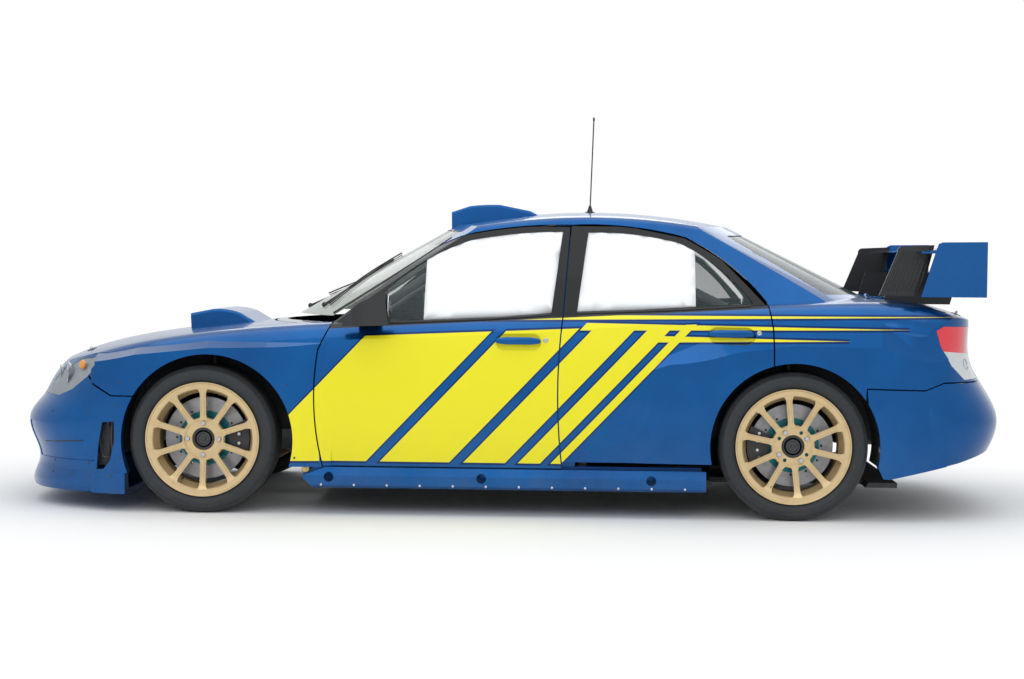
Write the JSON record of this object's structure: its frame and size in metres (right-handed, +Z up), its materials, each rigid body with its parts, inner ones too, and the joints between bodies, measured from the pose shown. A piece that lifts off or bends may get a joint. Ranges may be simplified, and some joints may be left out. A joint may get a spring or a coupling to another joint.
{
  "type": "rally car",
  "caption": "Four-door saloon rally car with opening doors, bonnet and boot, steering front wheels, roof and bonnet scoops and a large rear wing.",
  "frame": {"origin": "on the ground, midway between the bumpers' ends and between the two sides", "axes": "+X forward, +Y to the car's left, +Z up"},
  "size_m": [4.4159, 1.98, 1.7741],
  "materials": {
    "blue_paint": "metallic clear coat",
    "black_trim": "fine grain",
    "carbon": "woven sheet under lacquer",
    "window_glass": "clear, slightly smoked",
    "lamp_glass": "clear",
    "lamp_inside": "bright and grey",
    "lamp_red": "red and clear",
    "gold_paint": "satin gold",
    "tyre_rubber": "slick",
    "brake_iron": "machined faces",
    "dark_steel": "painted black",
    "seat_cloth": "woven",
    "cage_paint": "grey",
    "dash_plastic": "flocked",
    "engine_alloy": "as cast",
    "exhaust_steel": "heat stained",
    "floor_paint": "underseal"
  },
  "bodies": {
    "body": {"roof": "blue_paint", "side_frame_left": "blue_paint", "side_frame_right": "blue_paint", "floor_pan": "floor_paint", "wheel_tubs": "floor_paint", "front_bumper": "blue_paint", "front_splitter": "blue_paint", "grille": "black_trim", "front_fender_left": "blue_paint", "front_fender_right": "blue_paint", "cowl": "carbon", "windscreen": "window_glass", "rear_window": "window_glass", "headlamp_lenses": "lamp_glass", "headlamp_bowls": "lamp_inside", "tail_lamps": "lamp_red", "rear_bumper": "blue_paint", "side_skirts": "blue_paint", "roof_scoop": "blue_paint", "aerial": "black_trim", "wipers": "black_trim", "racing_seats": "seat_cloth", "roll_cage": "cage_paint", "dashboard": "dash_plastic", "engine_block": "engine_alloy", "exhaust": "exhaust_steel", "front_arms": "dark_steel", "rear_arms": "dark_steel", "knuckle_rear_left": "dark_steel", "knuckle_rear_right": "dark_steel"},
    "bonnet": {"bonnet": "blue_paint"},
    "boot": {"boot_lid": "blue_paint", "rear_wing": "blue_paint"},
    "steering_wheel": {"steering_wheel": "dash_plastic"},
    "front_door_left": {"front_door_left": "blue_paint", "front_glass_left": "window_glass", "mirror_left": "black_trim"},
    "rear_door_left": {"rear_door_left": "blue_paint", "rear_glass_left": "window_glass"},
    "hub_front_left": {"knuckle_front_left": "dark_steel"},
    "wheel_front_left": {"disc_front_left": "brake_iron", "rim_front_left": "gold_paint", "tyre_front_left": "tyre_rubber"},
    "wheel_rear_left": {"disc_rear_left": "brake_iron", "rim_rear_left": "gold_paint", "tyre_rear_left": "tyre_rubber"},
    "front_door_right": {"front_door_right": "blue_paint", "front_glass_right": "window_glass", "mirror_right": "black_trim"},
    "rear_door_right": {"rear_door_right": "blue_paint", "rear_glass_right": "window_glass"},
    "hub_front_right": {"knuckle_front_right": "dark_steel"},
    "wheel_front_right": {"disc_front_right": "brake_iron", "rim_front_right": "gold_paint", "tyre_front_right": "tyre_rubber"},
    "wheel_rear_right": {"disc_rear_right": "brake_iron", "rim_rear_right": "gold_paint", "tyre_rear_right": "tyre_rubber"}
  },
  "joints": [
    {"name": "steer_left", "type": "hinge", "parent": "body", "child": "hub_front_left", "pos_m": [1.3075, 0.68, 0.19], "axis": [0, -0.2017, 0.9795], "range_deg": [-27, 27]},
    {"name": "steer_right", "type": "hinge", "parent": "body", "child": "hub_front_right", "pos_m": [1.3075, -0.68, 0.19], "axis": [0, 0.2017, 0.9795], "range_deg": [-27, 27]},
    {"name": "steering_wheel_turn", "type": "hinge", "parent": "body", "child": "steering_wheel", "pos_m": [0.3, 0.36, 0.745], "axis": [-0.9135, 0, 0.4067], "range_deg": [-324, 324]},
    {"name": "spin_front_left", "type": "hinge", "parent": "hub_front_left", "child": "wheel_front_left", "pos_m": [1.3075, 0.766, 0.318], "axis": [0, 1, 0], "continuous": true},
    {"name": "spin_rear_left", "type": "hinge", "parent": "body", "child": "wheel_rear_left", "pos_m": [-1.2325, 0.766, 0.318], "axis": [0, 1, 0], "continuous": true},
    {"name": "front_door_left_swing", "type": "hinge", "parent": "body", "child": "front_door_left", "pos_m": [0.824, 0.874, 0.5], "axis": [0, 0, -1], "range_deg": [0, 65]},
    {"name": "rear_door_left_swing", "type": "hinge", "parent": "body", "child": "rear_door_left", "pos_m": [-0.222, 0.876, 0.5], "axis": [0, 0, -1], "range_deg": [0, 65]},
    {"name": "spin_front_right", "type": "hinge", "parent": "hub_front_right", "child": "wheel_front_right", "pos_m": [1.3075, -0.766, 0.318], "axis": [0, 1, 0], "continuous": true},
    {"name": "spin_rear_right", "type": "hinge", "parent": "body", "child": "wheel_rear_right", "pos_m": [-1.2325, -0.766, 0.318], "axis": [0, 1, 0], "continuous": true},
    {"name": "front_door_right_swing", "type": "hinge", "parent": "body", "child": "front_door_right", "pos_m": [0.824, -0.874, 0.5], "axis": [0, 0, 1], "range_deg": [0, 65]},
    {"name": "rear_door_right_swing", "type": "hinge", "parent": "body", "child": "rear_door_right", "pos_m": [-0.222, -0.876, 0.5], "axis": [0, 0, 1], "range_deg": [0, 65]},
    {"name": "bonnet_lift", "type": "hinge", "parent": "body", "child": "bonnet", "pos_m": [0.928, 0, 0.846], "axis": [0, -1, 0], "range_deg": [0, 50]},
    {"name": "boot_lift", "type": "hinge", "parent": "body", "child": "boot", "pos_m": [-1.598, 0, 0.962], "axis": [0, 1, 0], "range_deg": [0, 60]}
  ],
  "couplings": [
    {"joint": "steer_right", "follows": "steer_left", "ratio": 1},
    {"joint": "steering_wheel_turn", "follows": "steer_left", "ratio": 12}
  ]
}
